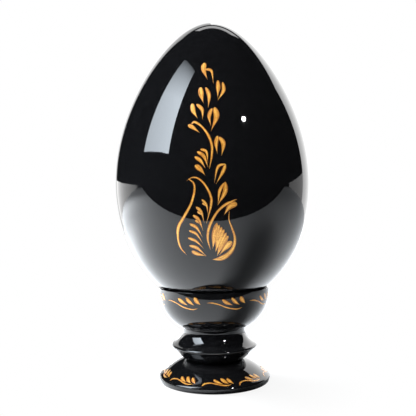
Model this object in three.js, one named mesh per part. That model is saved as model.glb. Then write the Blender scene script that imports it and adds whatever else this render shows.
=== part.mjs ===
// A lacquered wooden egg standing in a turned stand.
//
// Millimetres, +Z up. The origin is the middle of the foot's flat underside, so the
// object stands on the plane z = 0 with its axis on +Z. The painted front faces -Y.
//
// Every piece is turned on a lathe: the egg, the cup that it sits in, the stem with its
// knop, and the spreading foot. The stem has a round spigot at each end, glued into a
// blind socket in the cup and in the foot. The egg only rests in the cup and lifts out.

import * as THREE from 'three';

// ---- driving dimensions ----

const EGG_HEIGHT = 150;
const EGG_DIAMETER = 102.5;
const EGG_BOTTOM_Z = 38.3; // the egg's lowest point, inside the cup

const CUP_RIM_Z = 49.1; // the cup's highest point, also how tall the stand is
const CUP_BASE_Z = 28.1; // the flat underside of the cup
const CUP_RADIUS = 29.1;
const CUP_WALL = 2.0; // the height of the straight wall under the rim
const CUP_BASE_RADIUS = 17.9;
const CUP_FLOOR_Z = 33.6; // the bottom of the hollow under the egg

const NECK_RADIUS = 16.3; // the stem's narrowest, just under the cup
const KNOP_RADIUS = 22.5;
const KNOP_Z = 18.3; // height of the knop's edge
const WAIST_RADIUS = 15.2; // the stem's foot-end, just above the foot
const WAIST_Z = 11.1;

const FOOT_RADIUS = 29.35;
const FOOT_EDGE_Z = 2.3; // height of the foot's widest line
const FOOT_BASE_RADIUS = 28.7;

const SPIGOT_RADIUS = 6.5;
const UPPER_SPIGOT_LENGTH = 3.4;
const LOWER_SPIGOT_LENGTH = 5.6;

const GAP = 0.3; // glue line, or air, between neighbouring pieces
const EDGE_ROUND = 0.4; // radius that sanding leaves on a crisp edge

const TURN_STEPS = 48; // flats round every turned piece
const EGG_STEPS = 32; // flats from pole to pole
const CURVE_STEPS = 7; // flats along each curved stretch of a profile

// ---- the egg's outline ----
// The radius at angle t from the middle plane is that of an ellipse, times a factor that
// makes the egg fuller below the middle than above it, and slimmer towards both ends.

const EGG_TAPER = 0.155;
const EGG_SLIMNESS = 0.1;

function eggFullness(t) {
  const s = Math.sin(t);
  return Math.cos(t) * (1 - EGG_TAPER * s - EGG_SLIMNESS * s * s);
}

function fullestPoint() {
  const samples = 2000;
  let fullest = 0;
  for (let i = 0; i <= samples; i += 1) {
    fullest = Math.max(fullest, eggFullness((i / samples - 0.5) * Math.PI));
  }
  return fullest;
}

const EGG_UNIT_RADIUS = EGG_DIAMETER / 2 / fullestPoint();
const EGG_MIDDLE_Z = EGG_BOTTOM_Z + EGG_HEIGHT / 2;

function eggPoint(t) {
  const radius = EGG_UNIT_RADIUS * eggFullness(t);
  const z = EGG_MIDDLE_Z + (EGG_HEIGHT / 2) * Math.sin(t);
  return new THREE.Vector2(Math.max(radius, 0), z);
}

function eggRadiusAt(z) {
  const t = Math.asin((z - EGG_MIDDLE_Z) / (EGG_HEIGHT / 2));
  return eggPoint(t).x;
}

// A point GAP outside the egg's surface at height z, where the cup bears on it.
function seatPoint(z) {
  const step = 0.1;
  const slope = (eggRadiusAt(z + step) - eggRadiusAt(z - step)) / (2 * step);
  const sideways = GAP * Math.hypot(1, slope);
  return new THREE.Vector2(eggRadiusAt(z) + sideways, z);
}

// ---- turning ----

// Revolves a profile of (radius, height) points about +Z. The profile runs from the
// axis at the bottom, round the outside, to the axis at the top.
function turned(name, profile, material) {
  const geometry = new THREE.LatheGeometry(profile, TURN_STEPS);
  geometry.rotateX(Math.PI / 2);
  const mesh = new THREE.Mesh(geometry, material);
  mesh.name = name;
  return mesh;
}

function blackLacquer() {
  return new THREE.MeshStandardMaterial({ color: 0x060607, roughness: 0.08, metalness: 0 });
}

// ---- pieces ----

function makeEgg() {
  const profile = [];
  for (let i = 0; i <= EGG_STEPS; i += 1) {
    profile.push(eggPoint((i / EGG_STEPS - 0.5) * Math.PI));
  }
  profile[0].x = 0;
  profile[EGG_STEPS].x = 0;
  return turned('egg', profile, blackLacquer());
}

// The cup: socket below, round belly, narrow rim, a seat band that follows the egg, and
// a deeper hollow under it so that the egg bears only on the band.
function makeCup() {
  const socketRadius = SPIGOT_RADIUS + GAP;
  const socketTop = CUP_BASE_Z + UPPER_SPIGOT_LENGTH + GAP;
  const bellyTop = CUP_RIM_Z - CUP_WALL;
  const bellyPull = new THREE.Vector2(CUP_RADIUS, bellyTop - 8.5);
  const basePull = new THREE.Vector2(CUP_BASE_RADIUS + 6.0, CUP_BASE_Z + 3.5);
  const seatTop = seatPoint(CUP_RIM_Z - 0.25);
  const seatMiddle = seatPoint(CUP_RIM_Z - 1.4);
  const seatBottom = seatPoint(CUP_RIM_Z - 2.5);
  const hollowPull = new THREE.Vector2(seatBottom.x - 0.7, CUP_FLOOR_Z);
  const floorRadius = 9.5;

  const path = new THREE.Path();
  path.moveTo(0, socketTop);
  path.lineTo(socketRadius, socketTop);
  path.lineTo(socketRadius, CUP_BASE_Z);
  path.lineTo(CUP_BASE_RADIUS - EDGE_ROUND, CUP_BASE_Z);
  path.bezierCurveTo(basePull.x, basePull.y, bellyPull.x, bellyPull.y, CUP_RADIUS, bellyTop);
  path.lineTo(CUP_RADIUS, CUP_RIM_Z - EDGE_ROUND);
  path.lineTo(CUP_RADIUS - EDGE_ROUND, CUP_RIM_Z);
  path.lineTo(seatTop.x + 0.2, CUP_RIM_Z);
  path.lineTo(seatTop.x, seatTop.y);
  path.lineTo(seatMiddle.x, seatMiddle.y);
  path.lineTo(seatBottom.x, seatBottom.y);
  path.quadraticCurveTo(hollowPull.x, hollowPull.y, floorRadius, CUP_FLOOR_Z);
  path.lineTo(0, CUP_FLOOR_Z);
  return turned('stand_cup', path.getPoints(CURVE_STEPS), blackLacquer());
}

// The stem: lower spigot, waist, knop with a rounded edge, hollow neck, upper spigot.
function makeStem() {
  const waistBottom = WAIST_Z;
  const neckTop = CUP_BASE_Z - GAP;
  const neckBottom = neckTop - 1.2;
  const edgeRadius = KNOP_RADIUS - 0.5; // where the knop's rounded edge begins and ends
  const edgeBottom = KNOP_Z - 0.75;
  const edgeTop = KNOP_Z + 0.85;
  const edgePull = new THREE.Vector2(KNOP_RADIUS + 0.45, KNOP_Z);
  const underPull = new THREE.Vector2(WAIST_RADIUS + 4.0, WAIST_Z + 3.0);
  const flarePull = new THREE.Vector2(NECK_RADIUS + 3.0, edgeTop + 1.0);
  const neckPull = new THREE.Vector2(NECK_RADIUS, neckBottom - 3.0);

  const path = new THREE.Path();
  path.moveTo(0, waistBottom - LOWER_SPIGOT_LENGTH);
  path.lineTo(SPIGOT_RADIUS, waistBottom - LOWER_SPIGOT_LENGTH);
  path.lineTo(SPIGOT_RADIUS, waistBottom);
  path.lineTo(WAIST_RADIUS - 0.2, waistBottom);
  path.quadraticCurveTo(underPull.x, underPull.y, edgeRadius, edgeBottom);
  path.quadraticCurveTo(edgePull.x, edgePull.y, edgeRadius, edgeTop);
  path.bezierCurveTo(flarePull.x, flarePull.y, neckPull.x, neckPull.y, NECK_RADIUS, neckBottom);
  path.lineTo(NECK_RADIUS, neckTop);
  path.lineTo(SPIGOT_RADIUS, neckTop);
  path.lineTo(SPIGOT_RADIUS, neckTop + UPPER_SPIGOT_LENGTH);
  path.lineTo(0, neckTop + UPPER_SPIGOT_LENGTH);
  return turned('stand_stem', path.getPoints(CURVE_STEPS), blackLacquer());
}

// The foot: flat underside, an edge that leans in towards the table, a shallow slope up
// to the stem, and a blind socket in the top.
function makeFoot() {
  const topZ = WAIST_Z - GAP;
  const socketRadius = SPIGOT_RADIUS + GAP;
  const socketFloor = WAIST_Z - LOWER_SPIGOT_LENGTH - GAP;
  const slopeStart = new THREE.Vector2(FOOT_RADIUS - 1.0, FOOT_EDGE_Z + 1.25);
  const slopePull = new THREE.Vector2(FOOT_RADIUS - 4.5, FOOT_EDGE_Z + 3.1);
  const shoulderPull = new THREE.Vector2(WAIST_RADIUS + 6.8, topZ - 1.8);
  const shoulderEnd = new THREE.Vector2(WAIST_RADIUS + 1.0, topZ - 0.1);

  const path = new THREE.Path();
  path.moveTo(0, 0);
  path.lineTo(FOOT_BASE_RADIUS, 0);
  path.lineTo(FOOT_RADIUS - 0.1, FOOT_EDGE_Z - 0.5);
  path.quadraticCurveTo(FOOT_RADIUS + 0.1, FOOT_EDGE_Z + 0.5, slopeStart.x, slopeStart.y);
  path.bezierCurveTo(slopePull.x, slopePull.y, shoulderPull.x, shoulderPull.y, shoulderEnd.x, shoulderEnd.y);
  path.lineTo(WAIST_RADIUS, topZ);
  path.lineTo(socketRadius, topZ);
  path.lineTo(socketRadius, socketFloor);
  path.lineTo(0, socketFloor);
  return turned('stand_foot', path.getPoints(CURVE_STEPS), blackLacquer());
}

// ---- assembly ----

const stand = new THREE.Group();
stand.add(makeFoot(), makeStem(), makeCup());

const object = new THREE.Group();
object.add(stand, makeEgg());

export default object;
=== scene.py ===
"""A black lacquered wooden egg with a gold brush-painted spray, standing in a turned stand.

Blender works in metres. The turned shapes and the brush strokes below are given in
millimetres and scaled by MM when their meshes are made. +Z is up, the stand's axis is +Z,
and the painted front faces -Y.
"""

import math
import random

import bpy
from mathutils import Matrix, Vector


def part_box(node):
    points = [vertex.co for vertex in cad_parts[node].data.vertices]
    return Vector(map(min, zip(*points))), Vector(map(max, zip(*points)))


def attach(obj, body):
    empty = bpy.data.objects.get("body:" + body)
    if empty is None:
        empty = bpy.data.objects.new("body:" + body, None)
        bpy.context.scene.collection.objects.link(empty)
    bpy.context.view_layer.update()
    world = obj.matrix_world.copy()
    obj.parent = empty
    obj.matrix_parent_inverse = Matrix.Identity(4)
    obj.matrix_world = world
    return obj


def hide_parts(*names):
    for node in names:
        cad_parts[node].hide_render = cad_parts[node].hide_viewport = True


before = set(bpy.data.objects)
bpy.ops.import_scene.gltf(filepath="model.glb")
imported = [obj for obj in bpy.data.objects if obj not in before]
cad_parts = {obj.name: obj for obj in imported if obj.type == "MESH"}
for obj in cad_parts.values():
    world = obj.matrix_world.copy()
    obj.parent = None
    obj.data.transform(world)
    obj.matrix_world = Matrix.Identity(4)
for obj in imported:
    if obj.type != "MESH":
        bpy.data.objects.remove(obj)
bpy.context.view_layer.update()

MM = 0.001


# ---- sizes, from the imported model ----

def box_mm(node):
    """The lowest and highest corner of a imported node, in millimetres."""
    low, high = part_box(node)
    return low / MM, high / MM


egg_low, egg_high = box_mm("egg")
cup_low, cup_high = box_mm("stand_cup")
_, foot_high = box_mm("stand_foot")

EGG_HEIGHT = egg_high.z - egg_low.z
EGG_RADIUS = egg_high.x
EGG_MIDDLE_Z = (egg_high.z + egg_low.z) / 2
EGG_TAPER = 0.155  # how much fuller the egg is below its middle than above it
EGG_SLIMNESS = 0.1  # how much slimmer than an ellipse it is towards both ends

CUP_RIM_Z = cup_high.z
CUP_BASE_Z = cup_low.z
CUP_RADIUS = cup_high.x
CUP_BASE_RADIUS = 17.9
CUP_FLOOR_THICKNESS = 5.5
CUP_FLOOR_Z = CUP_BASE_Z + CUP_FLOOR_THICKNESS
CUP_FLOOR_RADIUS = 9.5  # the flat middle of the hollow under the egg
CUP_WALL = 2.0  # the height of the straight wall under the rim
CUP_BELLY_TOP_Z = CUP_RIM_Z - CUP_WALL
SEAT_TOP_DEPTH = 0.25  # these are the depths under the rim of the band that bears the egg
SEAT_MIDDLE_DEPTH = 1.4
SEAT_BOTTOM_DEPTH = 2.5

GAP = 0.3  # glue line, or air, between neighbouring pieces
SPIGOT_RADIUS = 6.5
UPPER_SPIGOT_LENGTH = 3.4
LOWER_SPIGOT_LENGTH = 5.6
WAIST_RADIUS = 15.2
WAIST_Z = foot_high.z + GAP
NECK_RADIUS = 16.3
NECK_TOP_Z = CUP_BASE_Z - GAP
KNOP_RADIUS = 22.5
KNOP_Z = 18.3

FOOT_RADIUS = 29.35
FOOT_EDGE_Z = 2.3
FOOT_BASE_RADIUS = 28.7
FOOT_TOP_Z = foot_high.z

TURN_STEPS = 160  # flats round every turned piece
ARRIS = 0.25  # radius left on a crisp edge by sanding and lacquer
ARRIS_STEPS = 4
ARRIS_SHARE = 0.4  # the most that an arris takes of the stretch beside it
SMOOTH_TURN = math.radians(24)  # a corner that turns less than this is part of a curve
SHARP_TURN = math.radians(40)  # turned faces that meet at more than this are shaded apart
PAINT_SHARP_TURN = math.radians(60)  # and so are those of the paint


# ---- profiles: lists of (radius, height) from the axis at the bottom round to the top ----

def line(end):
    """A straight stretch of a profile, from its last point to end, for trace."""
    return [end], 1


def curve(*pulls_and_end, steps=14):
    """A quadratic or cubic stretch of a profile, from its last point, for trace."""
    return list(pulls_and_end), steps


def curve_point(points, t):
    """De Casteljau's construction of a point of the curve with these pulls."""
    while len(points) > 1:
        points = [
            (a[0] + (b[0] - a[0]) * t, a[1] + (b[1] - a[1]) * t)
            for a, b in zip(points, points[1:])
        ]
    return points[0]


def trace(start, *stretches):
    """The points of a profile that goes from start along every stretch in turn."""
    points = [start]
    for targets, steps in stretches:
        pulls = [points[-1]] + targets
        points += [curve_point(pulls, i / steps) for i in range(1, steps + 1)]
    return points


def step_towards(a, b, distance):
    """The point at this distance from a on the way to b."""
    length = math.dist(a, b)
    return a[0] + (b[0] - a[0]) * distance / length, a[1] + (b[1] - a[1]) * distance / length


def eased(points):
    """The profile with an arris at every corner that turns more than SMOOTH_TURN."""
    result = [points[0]]
    for before, corner, after in zip(points, points[1:], points[2:]):
        heading_in = math.atan2(corner[1] - before[1], corner[0] - before[0])
        heading_out = math.atan2(after[1] - corner[1], after[0] - corner[0])
        turn = abs((heading_out - heading_in + math.pi) % (2 * math.pi) - math.pi)
        if turn < SMOOTH_TURN:
            result.append(corner)
            continue
        shorter = min(math.dist(before, corner), math.dist(corner, after))
        reach = min(ARRIS, ARRIS_SHARE * shorter)
        arc = [step_towards(corner, before, reach), corner, step_towards(corner, after, reach)]
        result += [curve_point(arc, i / ARRIS_STEPS) for i in range(ARRIS_STEPS + 1)]
    return result + [points[-1]]


def egg_fullness(t):
    """The egg's relative radius at angle t from its middle plane."""
    s = math.sin(t)
    return math.cos(t) * (1 - EGG_TAPER * s - EGG_SLIMNESS * s * s)


def greatest_fullness():
    """The fullness at the egg's widest, found to a tenth of a degree."""
    tenths = range(-900, 901)
    return max(egg_fullness(math.radians(tenth / 10)) for tenth in tenths)


EGG_UNIT_RADIUS = EGG_RADIUS / greatest_fullness()


def egg_point(t):
    """The egg's radius and height at angle t from its middle plane."""
    height = EGG_MIDDLE_Z + EGG_HEIGHT / 2 * math.sin(t)
    return max(EGG_UNIT_RADIUS * egg_fullness(t), 0.0), height


def egg_radius_at(z):
    """The egg's radius at height z."""
    return egg_point(math.asin((z - EGG_MIDDLE_Z) / (EGG_HEIGHT / 2)))[0]


def egg_profile(steps=128):
    """The egg's outline from pole to pole."""
    points = [egg_point((i / steps - 0.5) * math.pi) for i in range(steps + 1)]
    points[0] = (0.0, points[0][1])
    points[-1] = (0.0, points[-1][1])
    return points


def seat_point(z):
    """A point GAP outside the egg's surface at height z, where the cup bears on it."""
    step = 0.1
    slope = (egg_radius_at(z + step) - egg_radius_at(z - step)) / (2 * step)
    return egg_radius_at(z) + GAP * math.hypot(1, slope), z


def cup_belly():
    """The cup's outside, from its base up to the straight wall under the rim."""
    return trace(
        (CUP_BASE_RADIUS - 0.4, CUP_BASE_Z),
        curve(
            (CUP_BASE_RADIUS + 6.0, CUP_BASE_Z + 3.5),
            (CUP_RADIUS, CUP_BELLY_TOP_Z - 8.5),
            (CUP_RADIUS, CUP_BELLY_TOP_Z),
            steps=36,
        ),
    )


def cup_profile():
    """The cup: socket, belly, rim, the seat band and the deeper hollow under it."""
    socket_radius = SPIGOT_RADIUS + GAP
    socket_top = CUP_BASE_Z + UPPER_SPIGOT_LENGTH + GAP
    seat_top = seat_point(CUP_RIM_Z - SEAT_TOP_DEPTH)
    seat_middle = seat_point(CUP_RIM_Z - SEAT_MIDDLE_DEPTH)
    seat_bottom = seat_point(CUP_RIM_Z - SEAT_BOTTOM_DEPTH)
    socket = [(0, socket_top), (socket_radius, socket_top), (socket_radius, CUP_BASE_Z)]
    rim_and_inside = trace(
        (CUP_RADIUS, CUP_RIM_Z),
        line((seat_top[0] + 0.1, CUP_RIM_Z)),
        line(seat_top),
        line(seat_middle),
        line(seat_bottom),
        curve((seat_bottom[0] - 0.7, CUP_FLOOR_Z), (CUP_FLOOR_RADIUS, CUP_FLOOR_Z)),
        line((0, CUP_FLOOR_Z)),
    )
    return socket + cup_belly() + rim_and_inside


def stem_profile():
    """The stem: lower spigot, waist, knop with a rounded edge, neck, upper spigot."""
    neck_bottom = NECK_TOP_Z - 1.2
    edge_radius = KNOP_RADIUS - 0.5
    edge_bottom = KNOP_Z - 0.75
    edge_top = KNOP_Z + 0.85
    return trace(
        (0, WAIST_Z - LOWER_SPIGOT_LENGTH),
        line((SPIGOT_RADIUS, WAIST_Z - LOWER_SPIGOT_LENGTH)),
        line((SPIGOT_RADIUS, WAIST_Z)),
        line((WAIST_RADIUS - 0.2, WAIST_Z)),
        curve((WAIST_RADIUS + 4.0, WAIST_Z + 3.0), (edge_radius, edge_bottom), steps=24),
        curve((KNOP_RADIUS + 0.45, KNOP_Z), (edge_radius, edge_top), steps=10),
        curve(
            (NECK_RADIUS + 3.0, edge_top + 1.0),
            (NECK_RADIUS, neck_bottom - 3.0),
            (NECK_RADIUS, neck_bottom),
            steps=30,
        ),
        line((NECK_RADIUS, NECK_TOP_Z)),
        line((SPIGOT_RADIUS, NECK_TOP_Z)),
        line((SPIGOT_RADIUS, NECK_TOP_Z + UPPER_SPIGOT_LENGTH)),
        line((0, NECK_TOP_Z + UPPER_SPIGOT_LENGTH)),
    )


def foot_slope():
    """The foot's painted slope, from its edge up to the stem."""
    return trace(
        (FOOT_RADIUS - 1.0, FOOT_EDGE_Z + 1.25),
        curve(
            (FOOT_RADIUS - 4.5, FOOT_EDGE_Z + 3.1),
            (WAIST_RADIUS + 6.8, FOOT_TOP_Z - 1.8),
            (WAIST_RADIUS + 1.0, FOOT_TOP_Z - 0.1),
            steps=36,
        ),
    )


def foot_profile():
    """The foot: flat underside, rounded edge, slope, and the socket in its top."""
    socket_radius = SPIGOT_RADIUS + GAP
    socket_floor = WAIST_Z - LOWER_SPIGOT_LENGTH - GAP
    edge = trace(
        (0, 0),
        line((FOOT_BASE_RADIUS, 0)),
        line((FOOT_RADIUS - 0.1, FOOT_EDGE_Z - 0.5)),
        curve((FOOT_RADIUS + 0.1, FOOT_EDGE_Z + 0.5), (FOOT_RADIUS - 1.0, FOOT_EDGE_Z + 1.25)),
    )
    top = [
        (WAIST_RADIUS, FOOT_TOP_Z),
        (socket_radius, FOOT_TOP_Z),
        (socket_radius, socket_floor),
        (0, socket_floor),
    ]
    return edge + foot_slope()[1:] + top


# ---- meshes ----

def new_piece(name, vertices, faces, material, body):
    """A visible piece from millimetre vertices, riding on its body."""
    mesh = bpy.data.meshes.new(name)
    mesh.from_pydata([Vector(v) * MM for v in vertices], [], faces)
    mesh.validate()
    mesh.update()
    mesh.shade_smooth()
    piece = bpy.data.objects.new(name, mesh)
    bpy.context.scene.collection.objects.link(piece)
    mesh.materials.append(material)
    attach(piece, body)
    return piece


def turned(name, profile, material, body):
    """A closed solid of revolution; the profile starts and ends on the axis."""
    vertices = [(0, 0, profile[0][1])]
    for radius, height in profile[1:-1]:
        for i in range(TURN_STEPS):
            angle = 2 * math.pi * i / TURN_STEPS
            vertices.append((radius * math.cos(angle), radius * math.sin(angle), height))
    vertices.append((0, 0, profile[-1][1]))
    last = len(vertices) - 1
    rings = len(profile) - 2

    def at(ring, i):
        return 1 + ring * TURN_STEPS + i % TURN_STEPS

    faces = []
    for i in range(TURN_STEPS):
        faces.append((0, at(0, i + 1), at(0, i)))
        faces.append((last, at(rings - 1, i), at(rings - 1, i + 1)))
        for ring in range(rings - 1):
            faces.append((at(ring, i), at(ring, i + 1), at(ring + 1, i + 1), at(ring + 1, i)))
    piece = new_piece(name, vertices, faces, material, body)
    piece.data.set_sharp_from_angle(angle=SHARP_TURN)
    return piece


# ---- painting on a turned surface ----

class Surface:
    """A turned surface with millimetre coordinates: across it, and up along its profile.

    With a reference radius, across is an angle times that radius, so that a motif keeps
    its angle. Without one, across is a true length at each height.
    """

    JUST_SHORT = 1e-6  # keeps the last point of the profile inside its last stretch

    def __init__(self, points, zero, reference_radius=None):
        self.points = points
        self.reference_radius = reference_radius
        self.lengths = [0.0]
        for a, b in zip(points, points[1:]):
            self.lengths.append(self.lengths[-1] + math.dist(a, b))
        self.zero = self.lengths[zero]

    def place(self, across, up, lift):
        """The point in space at (across, up), lifted off the surface along its normal."""
        length = min(max(up + self.zero, 0.0), self.lengths[-1] - self.JUST_SHORT)
        i = 0
        while self.lengths[i + 1] <= length:
            i += 1
        t = (length - self.lengths[i]) / (self.lengths[i + 1] - self.lengths[i])
        (r0, z0), (r1, z1) = self.points[i], self.points[i + 1]
        step = math.dist(self.points[i], self.points[i + 1])
        out, rise = (z1 - z0) / step, (r0 - r1) / step
        radius = r0 + (r1 - r0) * t
        angle = across / (self.reference_radius or radius)
        r = radius + out * lift
        return r * math.sin(angle), -r * math.cos(angle), z0 + (z1 - z0) * t + rise * lift


def smooth_route(points, count):
    """A Catmull-Rom curve through the points, with values such as a width carried along."""
    first = [2 * a - b for a, b in zip(points[0], points[1])]
    last = [2 * a - b for a, b in zip(points[-1], points[-2])]
    padded = [first] + [list(p) for p in points] + [last]
    spans = len(points) - 1
    route = []
    for i in range(count):
        place = i / (count - 1) * spans
        k = min(int(place), spans - 1)
        t = place - k
        a, b, c, d = padded[k:k + 4]
        route.append([
            0.5 * (2 * q + (r - p) * t + (2 * p - 5 * q + 4 * r - s) * t * t
                   + (3 * q - p - 3 * r + s) * t ** 3)
            for p, q, r, s in zip(a, b, c, d)
        ])
    return route


PAINT_CROWN = 0.07  # how much higher the middle of a broad stroke stands than its edge
PAINT_EDGE = 0.02  # how proud of the lacquer the edge of a stroke stands
PAINT_ROOT = -0.12  # the stroke's underside, inside the lacquer
BROAD_HALF = 0.5  # half the width from which a stroke has its full crown
THINNEST_HALF = 0.05
ACROSS_STEPS = (-1.0, -0.72, -0.38, 0.0, 0.38, 0.72, 1.0)
COMMA_BREADTH = 0.87  # the share of a stated width that the brush really presses out
COMMA_FADE = 1.5  # how soon a comma thins towards its tail
SCROLL_BREADTH = 0.9
GRAIN_RANGE = 40  # each stroke takes its brush grain from a place of its own


class Painting:
    """Collects brush strokes on one surface and turns them into a mesh of closed shells."""

    def __init__(self, surface, seed):
        self.surface = surface
        self.random = random.Random(seed)
        self.vertices = []
        self.faces = []
        self.grain = []

    def stroke(self, route, widths):
        """One shell along a route of (across, up) points, with a width for each of them."""
        grain_place = self.random.uniform(0, GRAIN_RANGE)
        rings = []
        travelled = 0.0
        for i, (x, y) in enumerate(route):
            before = route[max(i - 1, 0)]
            after = route[min(i + 1, len(route) - 1)]
            dx, dy = after[0] - before[0], after[1] - before[1]
            length = math.hypot(dx, dy) or 1.0
            sideways = (dy / length, -dx / length)
            half = max(widths[i] / 2, THINNEST_HALF)
            travelled += math.dist(route[i], before)
            crown = PAINT_CROWN * min(1.0, half / BROAD_HALF)
            top = [(t, PAINT_EDGE + crown * (1 - t * t)) for t in ACROSS_STEPS]
            underside = [(t, PAINT_ROOT) for t in reversed(ACROSS_STEPS)]
            rings.append([
                self.vertex((x, y), sideways, half * t, lift, (travelled, t, grain_place))
                for t, lift in top + underside
            ])
        size = len(rings[0])
        for a, b in zip(rings, rings[1:]):
            for k in range(size):
                self.faces.append((a[k], b[k], b[(k + 1) % size], a[(k + 1) % size]))
        self.faces.append(tuple(rings[0]))
        self.faces.append(tuple(reversed(rings[-1])))

    def vertex(self, place, sideways, offset, lift, grain):
        """Adds one point of a stroke, and returns its number."""
        x = place[0] + sideways[0] * offset
        y = place[1] + sideways[1] * offset
        self.vertices.append(self.surface.place(x, y, lift))
        self.grain.append(grain)
        return len(self.vertices) - 1

    def comma(self, head, middle, tail, width, belly=0.34, steps=26):
        """A single-touch stroke: the brush is pressed at its head and drawn off to a point."""
        route = smooth_route([head, middle, tail], steps)
        width *= COMMA_BREADTH
        widths = []
        for i in range(steps):
            t = i / (steps - 1)
            if t < belly:
                widths.append(width * math.sqrt(max(1 - (1 - t / belly) ** 2, 0.0)))
            else:
                fade = math.cos(math.pi / 2 * (t - belly) / (1 - belly))
                widths.append(width * max(fade, 0.0) ** COMMA_FADE)
        self.stroke([tuple(p) for p in route], widths)

    def scroll(self, points, steps=64):
        """A long stroke through points of (across, up, width)."""
        route = smooth_route(points, steps)
        widths = [max(p[2], 0.0) * SCROLL_BREADTH for p in route]
        self.stroke([tuple(p[:2]) for p in route], widths)

    def piece(self, name, material, body):
        """The collected strokes as one visible piece."""
        piece = new_piece(name, self.vertices, self.faces, material, body)
        attribute = piece.data.attributes.new("brush_grain", "FLOAT_VECTOR", "POINT")
        for item, value in zip(attribute.data, self.grain):
            item.vector = value
        piece.data.set_sharp_from_angle(angle=PAINT_SHARP_TURN)
        return piece


def paint_bud_sprays(painting):
    """The pairs of small petals up the tall middle of the spray."""
    comma = painting.comma
    comma((-3.7, 59.4), (-4.2, 55.0), (-2.4, 48.8), 2.9)
    comma((-3.2, 55.2), (-0.5, 54.0), (0.3, 46.8), 1.9, belly=0.22)
    comma((2.5, 48.5), (2.5, 44.0), (2.2, 39.0), 2.3, belly=0.4)
    comma((4.7, 47.5), (5.0, 42.8), (2.3, 37.5), 2.0, belly=0.42)
    comma((-5.7, 44.7), (-5.4, 40.4), (-4.4, 36.0), 2.8)
    comma((-3.2, 44.6), (-1.8, 40.0), (-2.2, 33.6), 2.2, belly=0.38)
    comma((-9.6, 36.0), (-9.1, 32.2), (-7.2, 28.4), 2.7)
    comma((-7.5, 35.6), (-5.0, 32.6), (-4.8, 27.9), 2.1)
    comma((-0.4, 33.3), (-1.8, 29.4), (-1.1, 24.5), 2.1, belly=0.36)
    comma((0.7, 33.8), (1.5, 29.0), (-1.1, 21.9), 3.0, belly=0.38)
    comma((1.9, 19.7), (1.2, 16.0), (1.7, 11.5), 2.2, belly=0.36)
    comma((2.6, 19.2), (4.5, 16.0), (3.6, 10.4), 2.5, belly=0.42)


def paint_upper_curl(painting):
    """The curled stem left of the middle, its bud and the four petals under it."""
    painting.comma((-11.5, 25.3), (-9.4, 24.0), (-6.2, 21.3), 2.3, belly=0.36)
    painting.scroll([
        (-9.9, 25.8, 0.6),
        (-8.3, 26.5, 1.3),
        (-5.2, 24.2, 1.0),
        (-2.4, 20.2, 1.3),
        (-0.8, 15.6, 1.2),
        (-0.8, 10.5, 1.0),
        (-1.9, 4.5, 0.0),
    ])
    painting.comma((-5.9, 13.6), (-3.2, 12.2), (-2.6, 7.2), 1.5, belly=0.3)
    painting.comma((-7.4, 12.5), (-4.4, 10.3), (-2.5, 5.3), 2.1)
    painting.comma((-8.5, 10.2), (-5.9, 8.3), (-3.7, 4.8), 2.0)
    painting.comma((-8.4, 6.3), (-6.2, 4.6), (-3.8, 1.7), 2.7, belly=0.36)


def paint_middle_leaves(painting):
    """The open and the closed pointed leaf right of the middle."""
    painting.comma((5.2, 6.7), (1.9, 5.3), (0.2, -1.8), 1.5, belly=0.42)
    painting.comma((5.4, 6.6), (4.1, 3.2), (1.0, -2.3), 1.9, belly=0.4)
    painting.comma((4.6, -1.8), (2.6, -5.6), (1.8, -11.3), 1.7, belly=0.42)
    painting.comma((5.1, -1.3), (5.0, -5.8), (1.6, -11.9), 2.5, belly=0.42)


def paint_left_scrolls(painting):
    """The two long strokes that spring from one tip, and the comb of leaves between."""
    comma = painting.comma
    painting.scroll([
        (-12.5, -0.7, 0.0),
        (-9.8, 0.7, 0.6),
        (-7.0, 0.3, 0.9),
        (-4.0, -2.6, 1.0),
        (-1.4, -7.8, 1.2),
        (-1.4, -12.0, 1.2),
        (-3.4, -20.0, 0.0),
    ])
    painting.scroll([
        (-11.5, 0.2, 0.3),
        (-9.1, -1.8, 0.9),
        (-8.8, -5.2, 1.1),
        (-10.4, -11.0, 1.2),
        (-13.9, -17.2, 1.5),
        (-16.6, -21.8, 1.7),
        (-17.0, -27.0, 1.2),
        (-15.8, -32.2, 0.9),
        (-13.0, -35.8, 0.0),
    ])
    comma((-5.5, -9.1), (-3.4, -11.6), (-2.7, -16.4), 1.3, belly=0.26)
    comma((-8.1, -12.5), (-5.7, -15.0), (-4.5, -19.8), 1.6, belly=0.28)
    for knob in ((-5.2, -10.7), (-7.5, -14.6), (-8.6, -18.6)):
        middle = (knob[0] + 0.9, knob[1] - 0.7)
        tail = (knob[0] + 2.0, knob[1] - 1.9)
        comma(knob, middle, tail, 1.3, steps=12)
    comma((-9.5, -16.3), (-6.9, -18.6), (-5.0, -23.6), 1.8, belly=0.3)
    comma((-11.2, -20.3), (-7.9, -22.3), (-5.4, -26.8), 1.7, belly=0.3)
    comma((-11.5, -23.6), (-8.1, -25.3), (-5.3, -29.8), 1.5, belly=0.28)
    comma((-12.1, -27.1), (-8.3, -28.8), (-5.1, -32.3), 1.6, belly=0.28)
    comma((-11.5, -31.0), (-7.9, -32.3), (-3.7, -36.4), 1.9, belly=0.34)
    comma((-10.5, -33.9), (-7.9, -35.3), (-3.6, -36.5), 2.4, belly=0.38)


def paint_fan(painting):
    """Broad strokes side by side with a stepped outer edge, drawn in by pairs to three roots."""
    roots = [(-0.7, -32.6), (0.6, -34.4), (1.3, -36.4)]
    strokes = 2 * len(roots)
    outer_edge = smooth_route([(1.3, -20.0), (4.0, -22.5), (6.5, -26.2)], strokes)
    for i, head in enumerate(outer_edge):
        tail = roots[i // 2]
        middle = ((head[0] + tail[0]) / 2 - 0.3, (head[1] + tail[1]) / 2 + 0.5)
        painting.comma(head, middle, tail, 2.7, belly=0.42)


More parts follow.
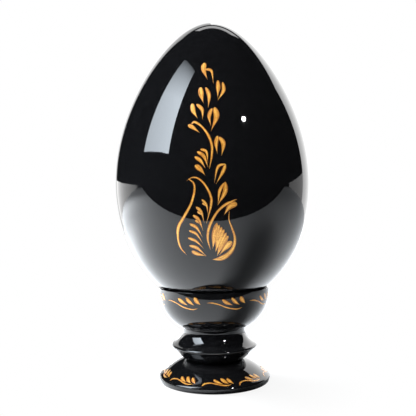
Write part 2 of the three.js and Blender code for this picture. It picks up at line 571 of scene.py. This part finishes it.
def paint_right_scrolls(painting):
    """The nodding bud on its stem, the plain leaf and the long scroll that closes the foot."""
    painting.comma((10.5, -11.2), (7.4, -12.2), (4.6, -16.2), 3.5, belly=0.38)
    painting.scroll([
        (8.2, -10.3, 0.9),
        (5.6, -11.3, 1.3),
        (2.0, -14.3, 1.2),
        (-1.0, -19.0, 1.4),
        (-2.6, -23.5, 1.4),
        (-2.9, -28.0, 1.0),
        (-1.7, -33.2, 0.0),
    ])
    painting.scroll([(7.6, -10.4, 1.0), (9.2, -9.6, 0.5), (10.6, -9.3, 0.0)], steps=16)
    painting.comma((8.2, -29.0), (5.7, -31.4), (2.2, -36.1), 3.5, belly=0.4)
    painting.scroll([
        (6.9, -14.8, 0.2),
        (6.8, -18.5, 0.5),
        (8.2, -22.6, 0.9),
        (9.5, -26.8, 1.2),
        (9.2, -31.2, 1.7),
        (7.0, -35.2, 2.6),
        (3.2, -37.8, 2.8),
        (-0.8, -38.5, 0.0),
    ])


LEAF_SIZES = (0.9, 1.1)
LEAF_BENDS = (0.1, 0.4)  # how far a leaf's middle hangs below a straight line


def paint_band(painting, sprigs, pitch, first, stem, leaves, wobble):
    """One sprig repeated round the stand, each a little different as a hand makes it."""
    for k in range(sprigs):
        shift = first + k * pitch + painting.random.uniform(-wobble, wobble)
        rise = painting.random.uniform(-wobble, wobble) / 2
        painting.scroll([(a + shift, u + rise, w) for a, u, w in stem], steps=36)
        for head, tail, width in leaves:
            size = painting.random.uniform(*LEAF_SIZES)
            bend = painting.random.uniform(*LEAF_BENDS)
            start = (head[0] + shift, head[1] + rise)
            end = (tail[0] + shift, tail[1] + rise)
            middle = ((start[0] + end[0]) / 2 - bend, (start[1] + end[1]) / 2 - bend)
            painting.comma(start, middle, end, width * size, belly=0.4, steps=16)


# ---- materials ----

class Nodes:
    """A material's node tree, with short calls that add and link nodes."""

    def __init__(self, name):
        self.material = bpy.data.materials.new(name)
        self.material.use_nodes = True
        self.tree = self.material.node_tree
        self.shader = self.tree.nodes["Principled BSDF"]

    def add(self, kind, **settings):
        node = self.tree.nodes.new("ShaderNode" + kind)
        for key, value in settings.items():
            setattr(node, key, value)
        return node

    def link(self, output, target):
        self.tree.links.new(output, target)

    def scaled_position(self, scale):
        """Object coordinates stretched by scale; a plain number or one for each axis."""
        place = self.add("TexCoord")
        mapping = self.add("Mapping")
        scales = scale if isinstance(scale, tuple) else (scale,) * 3
        mapping.inputs["Scale"].default_value = scales
        self.link(place.outputs["Object"], mapping.inputs["Vector"])
        return mapping.outputs["Vector"]

    def noise(self, vector, scale, detail=3.0, roughness=0.5):
        node = self.add("TexNoise")
        node.inputs["Scale"].default_value = scale
        node.inputs["Detail"].default_value = detail
        node.inputs["Roughness"].default_value = roughness
        self.link(vector, node.inputs["Vector"])
        return node.outputs["Fac"]

    def ramp(self, factor, *stops):
        """A colour ramp through (position, colour) stops."""
        node = self.add("ValToRGB")
        elements = node.color_ramp.elements
        while len(elements) < len(stops):
            elements.new(0.5)
        for element, (position, colour) in zip(elements, stops):
            element.position = position
            element.color = (*colour, 1.0)
        self.link(factor, node.inputs["Fac"])
        return node.outputs["Color"]

    def spread(self, factor, low, high, from_low=0.3, from_high=0.7):
        """A factor from from_low to from_high stretched to run from low to high."""
        node = self.add("MapRange")
        node.inputs["From Min"].default_value = from_low
        node.inputs["From Max"].default_value = from_high
        node.inputs["To Min"].default_value = low
        node.inputs["To Max"].default_value = high
        self.link(factor, node.inputs["Value"])
        return node.outputs["Result"]

    def bump(self, height, distance, strength=1.0, below=None):
        """A normal with this relief, on top of the one below."""
        node = self.add("Bump")
        node.inputs["Distance"].default_value = distance
        node.inputs["Strength"].default_value = strength
        self.link(height, node.inputs["Height"])
        if below is not None:
            self.link(below, node.inputs["Normal"])
        return node.outputs["Normal"]


def lacquer(name, wave_height, tone):
    """Black lacquer over turned wood: deep, glossy, a little wavy, with fine dust."""
    dust_share = 0.1
    ring_height = 0.000004
    along_the_rings = (0.04, 0.04, 1.0)
    nodes = Nodes(name)
    place = nodes.scaled_position(1.0)
    broad = nodes.noise(place, scale=90.0, detail=2.0)
    cloudy = nodes.noise(place, scale=320.0, detail=5.0, roughness=0.6)
    turning = nodes.noise(nodes.scaled_position(along_the_rings), scale=900.0, detail=2.0)
    dust = nodes.noise(place, scale=2600.0, detail=1.0)
    deep = tuple(0.6 * c for c in tone)
    colour = nodes.ramp(cloudy, (0.3, deep), (0.7, tone))
    speck = nodes.ramp(dust, (0.79, (0.0, 0.0, 0.0)), (0.83, (0.5, 0.5, 0.5)))
    dusty = nodes.add("Mix", data_type="RGBA", blend_type="ADD")
    dusty.inputs["Factor"].default_value = dust_share
    nodes.link(colour, dusty.inputs["A"])
    nodes.link(speck, dusty.inputs["B"])
    nodes.link(dusty.outputs["Result"], nodes.shader.inputs["Base Color"])
    nodes.link(nodes.spread(cloudy, low=0.015, high=0.05), nodes.shader.inputs["Roughness"])
    waves = nodes.bump(broad, wave_height)
    rings = nodes.bump(turning, ring_height, below=waves)
    nodes.link(rings, nodes.shader.inputs["Normal"])
    nodes.shader.inputs["IOR"].default_value = 1.5
    return nodes.material


def gold_paint():
    """Gold powder paint with brush streaks, thinner at its edges, under clear lacquer.

    The brush grain of a stroke is its length travelled, its place across the stroke from
    -1 to 1, and a number of the stroke's own.
    """
    streak_scale = (0.16, 2.4, 1.0)
    speckle_share = 0.42
    edge_thinning = -0.22
    grain_height = 0.00004
    nodes = Nodes("gold_brush_paint")
    grain = nodes.add("Attribute", attribute_name="brush_grain")
    stretch = nodes.add("Mapping")
    stretch.inputs["Scale"].default_value = streak_scale
    nodes.link(grain.outputs["Vector"], stretch.inputs["Vector"])
    streaks = nodes.noise(stretch.outputs["Vector"], scale=1.0, detail=4.0, roughness=0.6)
    place = nodes.scaled_position(1.0)
    speckle = nodes.noise(place, scale=1900.0, detail=3.0, roughness=0.7)
    mixed = nodes.add("Mix", data_type="FLOAT")
    mixed.inputs["Factor"].default_value = speckle_share
    nodes.link(streaks, mixed.inputs["A"])
    nodes.link(speckle, mixed.inputs["B"])
    across = nodes.add("SeparateXYZ")
    nodes.link(grain.outputs["Vector"], across.inputs["Vector"])
    thin = nodes.add("Math", operation="POWER")
    nodes.link(across.outputs["Y"], thin.inputs[0])
    thin.inputs[1].default_value = 2.0
    body = nodes.add("Math", operation="MULTIPLY_ADD")
    nodes.link(thin.outputs["Value"], body.inputs[0])
    body.inputs[1].default_value = edge_thinning
    nodes.link(mixed.outputs["Result"], body.inputs[2])
    colour = nodes.ramp(
        body.outputs["Value"],
        (0.28, (0.24, 0.06, 0.005)),
        (0.43, (0.55, 0.21, 0.02)),
        (0.57, (0.92, 0.53, 0.095)),
    )
    nodes.link(colour, nodes.shader.inputs["Base Color"])
    nodes.link(nodes.spread(speckle, low=0.34, high=0.5), nodes.shader.inputs["Roughness"])
    relief = nodes.bump(mixed.outputs["Result"], grain_height, strength=0.7)
    nodes.link(relief, nodes.shader.inputs["Normal"])
    nodes.shader.inputs["Metallic"].default_value = 0.2
    nodes.shader.inputs["Coat Weight"].default_value = 0.5
    nodes.shader.inputs["Coat Roughness"].default_value = 0.06
    return nodes.material


# ---- pieces ----

def make_turned_pieces():
    """The egg and the stand's three pieces, smooth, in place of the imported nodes."""
    egg_tone = (0.005, 0.005, 0.0055)
    stand_tone = (0.006, 0.006, 0.0065)
    egg_finish = lacquer("egg_black_lacquer", wave_height=0.000004, tone=egg_tone)
    stand_finish = lacquer("stand_black_lacquer", wave_height=0.000006, tone=stand_tone)
    egg = turned("egg_lacquered", egg_profile(), egg_finish, "egg")
    cup = turned("cup_lacquered", eased(cup_profile()), stand_finish, "stand")
    stem = turned("stem_lacquered", eased(stem_profile()), stand_finish, "stand")
    foot = turned("foot_lacquered", eased(foot_profile()), stand_finish, "stand")
    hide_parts("egg")
    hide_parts("stand_cup")
    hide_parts("stand_stem")
    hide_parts("stand_foot")
    return [egg, cup, stem, foot]


def make_spray(material):
    """The spray on the egg's front, measured from the egg's widest line."""
    points = egg_profile(steps=512)
    widest = max(range(len(points)), key=lambda i: points[i][0])
    painting = Painting(Surface(points, widest), seed=3)
    paint_bud_sprays(painting)
    paint_upper_curl(painting)
    paint_middle_leaves(painting)
    paint_left_scrolls(painting)
    paint_fan(painting)
    paint_right_scrolls(painting)
    return painting.piece("egg_spray_paint", material, "egg")


def make_cup_band(material):
    """The sprigs round the cup, measured down from the foot of its straight wall."""
    belly = cup_belly()
    wall_top = (CUP_RADIUS, CUP_RIM_Z)
    sprigs = 8
    painting = Painting(Surface(belly + [wall_top], len(belly) - 1, CUP_RADIUS), seed=11)
    stem = [
        (-1.6, -2.6, 0.0),
        (1.0, -2.6, 0.6),
        (4.5, -3.5, 0.65),
        (8.0, -5.0, 0.7),
        (11.5, -5.9, 0.75),
        (14.3, -6.1, 0.6),
        (16.6, -5.5, 0.0),
    ]
    leaves = [
        ((5.9, -1.0), (11.4, -4.0), 2.1),
        ((10.6, -0.3), (15.0, -4.0), 2.2),
        ((15.2, 0.0), (18.2, -3.5), 2.6),
    ]
    pitch = 2 * math.pi * CUP_RADIUS / sprigs
    paint_band(painting, sprigs, pitch, first=-2.0, stem=stem, leaves=leaves, wobble=0.5)
    return painting.piece("cup_band_paint", material, "stand")


def make_foot_band(material):
    """The sprigs round the foot, measured up its slope from the edge."""
    reference_radius = 26.0
    sprigs = 9
    painting = Painting(Surface(foot_slope(), 0, reference_radius), seed=23)
    stem = [
        (0.2, 0.3, 0.6),
        (1.0, 1.7, 1.0),
        (3.7, 2.4, 0.8),
        (6.4, 1.8, 0.8),
        (9.1, 1.0, 1.0),
        (11.7, 0.6, 0.9),
        (14.0, 1.1, 0.0),
    ]
    leaves = [
        ((5.4, 4.4), (9.8, 1.8), 2.3),
        ((9.1, 5.1), (12.8, 1.5), 2.3),
        ((12.4, 4.8), (15.2, 1.4), 2.4),
    ]
    pitch = 2 * math.pi * reference_radius / sprigs
    paint_band(painting, sprigs, pitch, first=-6.4, stem=stem, leaves=leaves, wobble=0.35)
    return painting.piece("foot_band_paint", material, "stand")


# ---- the studio: floor, room, lights, camera ----

TABLE_FRONT_Y = -0.205  # beyond this reflections see the floor painted near-black, a painted dark room past the table's front
BACK_WALL_Y = 0.6  # the table ends at the pale wall behind
FLOOR_HALF_WIDTH = 6.0
SHADOW_NEAR = 0.03  # between these distances from the axis the floor fades to pure white
SHADOW_REACH = 0.08
WHITE_AT_OBJECT = 0.9  # how white the camera sees the floor closer in
PAINTED_ROOM_DARK = 0.004  # painted darkness: what the lacquer shows of the floor in front of TABLE_FRONT_Y
DARK_ROOM = 0.014  # the strength of the world's light
ROOM_COLOUR = (0.85, 0.92, 1.0, 1.0)
WHITE = (1.0, 1.0, 1.0, 1.0)
DAYLIGHT = (0.82, 0.91, 1.0)
WINDOW_SIZE = (0.66, 1.52)
WINDOW_RISE = 1.08  # how far the window's middle is above the egg's
WINDOW_AIM = Vector((0, 0.14, 0.92))  # the place that the window faces, from the egg's middle


def white_for_camera(nodes, shader, place):
    """The shader, fading for the camera to pure white away from the object."""
    away = nodes.add("VectorMath", operation="LENGTH")
    nodes.link(place, away.inputs[0])
    whiteness = nodes.spread(
        away.outputs["Value"],
        WHITE_AT_OBJECT,
        1.0,
        from_low=SHADOW_NEAR,
        from_high=SHADOW_REACH,
    )
    rays = nodes.add("LightPath")
    share = nodes.add("Math", operation="MULTIPLY")
    nodes.link(rays.outputs["Is Camera Ray"], share.inputs[0])
    nodes.link(whiteness, share.inputs[1])
    white = nodes.add("Emission")
    mixed = nodes.add("MixShader")
    nodes.link(share.outputs["Value"], mixed.inputs["Fac"])
    nodes.link(shader, mixed.inputs[1])
    nodes.link(white.outputs["Emission"], mixed.inputs[2])
    return mixed.outputs["Shader"]


def paint_dark_in_reflections(nodes, shader, place):
    """The shader, painted nearly black in reflections in front of TABLE_FRONT_Y: painted
    darkness for the dark room past the table's front.
    """
    parts = nodes.add("SeparateXYZ")
    nodes.link(place, parts.inputs["Vector"])
    beyond = nodes.add("Math", operation="LESS_THAN")
    beyond.inputs[1].default_value = TABLE_FRONT_Y
    nodes.link(parts.outputs["Y"], beyond.inputs[0])
    rays = nodes.add("LightPath")
    share = nodes.add("Math", operation="MULTIPLY")
    nodes.link(beyond.outputs["Value"], share.inputs[0])
    nodes.link(rays.outputs["Is Glossy Ray"], share.inputs[1])
    # painted darkness: a near-black glow that stands in for the dark room in reflections
    dark = nodes.add("Emission")
    dark.inputs["Strength"].default_value = PAINTED_ROOM_DARK
    mixed = nodes.add("MixShader")
    nodes.link(share.outputs["Value"], mixed.inputs["Fac"])
    nodes.link(shader, mixed.inputs[1])
    nodes.link(dark.outputs["Emission"], mixed.inputs[2])
    return mixed.outputs["Shader"]


def floor_material():
    """A pale grey floor that the camera sees white, painted near-black in reflections in front
    of the table.
    """
    nodes = Nodes("pale_floor")
    mottle = nodes.noise(nodes.scaled_position(1.0), scale=30.0)
    shade = nodes.ramp(mottle, (0.0, (0.42, 0.44, 0.46)), (1.0, (0.46, 0.48, 0.50)))
    nodes.link(shade, nodes.shader.inputs["Base Color"])
    nodes.shader.inputs["Roughness"].default_value = 0.6
    place = nodes.add("TexCoord").outputs["Object"]
    whitened = white_for_camera(nodes, nodes.shader.outputs["BSDF"], place)
    # painted darkness: reflections see the floor near-black in front of TABLE_FRONT_Y
    surface = paint_dark_in_reflections(nodes, whitened, place)
    nodes.link(surface, nodes.tree.nodes["Material Output"].inputs["Surface"])
    return nodes.material


def make_floor():
    """The floor, which ends at the back wall."""
    half = FLOOR_HALF_WIDTH
    front = [(-half, -half, 0), (half, -half, 0)]
    back = [(half, BACK_WALL_Y, 0), (-half, BACK_WALL_Y, 0)]
    mesh = bpy.data.meshes.new("floor")
    mesh.from_pydata(front + back, [], [(0, 1, 2, 3)])
    mesh.materials.append(floor_material())
    floor = bpy.data.objects.new("floor", mesh)
    bpy.context.scene.collection.objects.link(floor)
    return floor


def make_room():
    """A world that the camera sees white, and that is a dim cool grey to everything else."""
    world = bpy.data.worlds.new("room")
    bpy.context.scene.world = world
    world.use_nodes = True
    tree = world.node_tree
    backdrop = tree.nodes["Background"]
    backdrop.inputs["Color"].default_value = WHITE
    room = tree.nodes.new("ShaderNodeBackground")
    room.inputs["Color"].default_value = ROOM_COLOUR
    room.inputs["Strength"].default_value = DARK_ROOM
    rays = tree.nodes.new("ShaderNodeLightPath")
    mixed = tree.nodes.new("ShaderNodeMixShader")
    tree.links.new(rays.outputs["Is Camera Ray"], mixed.inputs["Fac"])
    tree.links.new(room.outputs["Background"], mixed.inputs[1])
    tree.links.new(backdrop.outputs["Background"], mixed.inputs[2])
    tree.links.new(mixed.outputs["Shader"], tree.nodes["World Output"].inputs["Surface"])


def aim(thing, target):
    """Turns a light so that it shines towards target."""
    thing.rotation_euler = (Vector(target) - thing.location).to_track_quat("-Z", "Y").to_euler()


def add_panel(name, place, target, size, radiance, colour=(1.0, 1.0, 1.0)):
    """A rectangular light that shows in reflections but not to the camera."""
    light = bpy.data.lights.new(name, "AREA")
    light.shape = "RECTANGLE"
    light.size, light.size_y = size
    light.energy = radiance * math.pi * size[0] * size[1]
    light.color = colour
    panel = bpy.data.objects.new(name, light)
    panel.location = place
    aim(panel, target)
    panel.visible_camera = False
    bpy.context.scene.collection.objects.link(panel)
    return panel


def dim_towards(light, side_low, side_high, top_from, top):
    """Varies a panel's strength from side to side, and from 1 at top_from to top at its top.

    The height top_from is a share of the panel's own height.
    """
    light.use_nodes = True
    tree = light.node_tree
    place = tree.nodes.new("ShaderNodeNewGeometry")
    parts = tree.nodes.new("ShaderNodeSeparateXYZ")
    sideways = tree.nodes.new("ShaderNodeMapRange")
    sideways.inputs["To Min"].default_value = side_low
    sideways.inputs["To Max"].default_value = side_high
    upwards = tree.nodes.new("ShaderNodeMapRange")
    upwards.inputs["From Min"].default_value = top_from
    upwards.inputs["To Min"].default_value = 1.0
    upwards.inputs["To Max"].default_value = top
    both = tree.nodes.new("ShaderNodeMath")
    both.operation = "MULTIPLY"
    tree.links.new(place.outputs["Parametric"], parts.inputs["Vector"])
    tree.links.new(parts.outputs["X"], sideways.inputs["Value"])
    tree.links.new(parts.outputs["Y"], upwards.inputs["Value"])
    tree.links.new(sideways.outputs["Result"], both.inputs[0])
    tree.links.new(upwards.outputs["Result"], both.inputs[1])
    tree.links.new(both.outputs["Value"], tree.nodes["Emission"].inputs["Strength"])


def around(centre, azimuth, elevation, distance):
    """A point seen from centre; angles in degrees, azimuth 0 in front, towards -Y."""
    azimuth = math.radians(azimuth)
    elevation = math.radians(elevation)
    flat = distance * math.cos(elevation)
    return centre + Vector((
        flat * math.sin(azimuth),
        -flat * math.cos(azimuth),
        distance * math.sin(elevation),
    ))


def shine_only_on(light, things):
    """Keeps a light off everything but these things."""
    receivers = bpy.data.collections.new(light.name + "_receivers")
    for thing in things:
        receivers.objects.link(thing)
    light.light_linking.receiver_collection = receivers


def make_window(heart):
    """The tall window at the left, leaning over the object and turned a little away from it."""
    middle = around(heart, azimuth=-71, elevation=0, distance=0.91)
    middle.z = heart.z + WINDOW_RISE
    target = heart + WINDOW_AIM
    panel = add_panel("window", middle, target, WINDOW_SIZE, radiance=12.5, colour=DAYLIGHT)
    dim_towards(panel.data, side_low=0.72, side_high=1.28, top_from=0.45, top=0.12)
    return panel


def add_wall(name, sides, heights, radiance):
    """An upright panel in the back wall, between two sides and two heights in metres."""
    place = Vector((sum(sides) / 2, BACK_WALL_Y, sum(heights) / 2))
    target = Vector((place.x, 0, place.z))
    size = (sides[1] - sides[0], heights[1] - heights[0])
    return add_panel(name, place, target, size, radiance)


def make_backdrop(foot, others):
    """The pale wall behind, brighter at the right, with a high strip that the tip shows.

    Only its lowest part goes on far to both sides. Left of the middle the foot has a
    lower wall than the other pieces have.
    """
    add_wall("wall_right", sides=(0.0, 0.9), heights=(0.0, 0.85), radiance=2.6)
    add_wall("low_wall_right", sides=(0.9, 6.0), heights=(0.0, 0.2), radiance=1.0)
    low_left = add_wall("low_wall_left", sides=(-6.0, -0.35), heights=(0.0, 0.14), radiance=1.0)
    dim_towards(low_left.data, side_low=2.5, side_high=1.1, top_from=0.0, top=1.0)
    add_wall("high_strip", sides=(-0.25, 0.42), heights=(1.0, 1.3), radiance=2.2)
    wall_left = add_wall("wall_left", sides=(-0.35, 0.0), heights=(0.0, 0.85), radiance=1.2)
    shine_only_on(wall_left, others)
    foot_left = add_wall("foot_wall_left", sides=(-0.35, 0.0), heights=(0.0, 0.12), radiance=1.0)
    shine_only_on(foot_left, [foot])


def make_table_sun(heart):
    """The light from behind at the left that throws the object's soft shadow."""
    light = bpy.data.lights.new("table_sun", "SUN")
    light.energy = 3.9
    light.angle = math.radians(35)
    sun = bpy.data.objects.new("table_sun", light)
    sun.location = around(heart, azimuth=-135, elevation=35, distance=0.8)
    aim(sun, heart)
    bpy.context.scene.collection.objects.link(sun)
    return sun


def make_table_lights(heart):
    """Light from behind at the left, which leaves the table's front right in soft shadow.

    A sun lights the whole table, a panel makes its left side brighter, a low lamp does so
    near the object, and two panels hang over its far ends.
    """
    left_of_object = (-0.6, 0.12, 0)
    under_object = (0, 0, 0)
    high = around(heart, azimuth=-116, elevation=33, distance=0.8)
    panel = add_panel("table_light", high, left_of_object, size=(0.45, 0.45), radiance=64.0)
    near = around(heart, azimuth=-121, elevation=18, distance=0.3)
    low = add_panel("table_lamp", near, under_object, size=(0.14, 0.14), radiance=41.0)
    lights = [panel, low, make_table_sun(heart)]
    for name, x, radiance in (("table_left_end", -2.4, 7.0), ("table_right_end", 2.4, 2.0)):
        spot = (x, 0.2, 0)
        above = (x, 0.2, 1.2)
        lights.append(add_panel(name, above, spot, size=(1.5, 1.5), radiance=radiance))
    for light in lights:
        light.visible_glossy = False
    return lights


def make_fill(heart):
    """Soft light from above the camera, which shows the gold but not itself."""
    place = around(heart, azimuth=-24, elevation=61, distance=1.2)
    panel = add_panel("fill", place, heart, size=(0.8, 0.8), radiance=4.8)
    panel.visible_glossy = False
    return panel


def make_lamp(heart):
    """A small lamp, wider than tall so that the upright egg shows it round."""
    place = around(heart, azimuth=42, elevation=37.5, distance=0.8)
    panel = add_panel("lamp", place, heart, size=(0.054, 0.034), radiance=300.0)
    panel.data.shape = "ELLIPSE"
    return panel


def make_lights(floor, foot, others):
    """The backdrop, then the lights of the floor alone, then those of the object alone."""
    heart = Vector((0, 0, EGG_MIDDLE_Z * MM))
    make_backdrop(foot, others)
    for light in make_table_lights(heart):
        shine_only_on(light, [floor])
    for light in (make_window(heart), make_fill(heart), make_lamp(heart)):
        shine_only_on(light, [foot] + others)


CAMERA_SENSOR = 36.0
CAMERA_LENS = 52.8
CAMERA_PLACE = (-0.0027, -0.3248, 0.09065)
CAMERA_ROLL = math.radians(0.5)
LEVEL = math.radians(90)


def make_camera():
    """The camera in front of the painting, level but for a slight roll."""
    data = bpy.data.cameras.new("camera")
    data.sensor_width = CAMERA_SENSOR
    data.lens = CAMERA_LENS
    camera = bpy.data.objects.new("camera", data)
    camera.location = CAMERA_PLACE
    camera.rotation_euler = (LEVEL, CAMERA_ROLL, 0)
    bpy.context.scene.collection.objects.link(camera)
    bpy.context.scene.camera = camera


# ---- assembly ----

bpy.context.scene.view_settings.view_transform = "Standard"
make_camera()
make_room()
gold = gold_paint()
egg, cup, stem, foot = make_turned_pieces()
paint = [make_spray(gold), make_cup_band(gold), make_foot_band(gold)]
make_lights(make_floor(), foot, [egg, cup, stem] + paint)
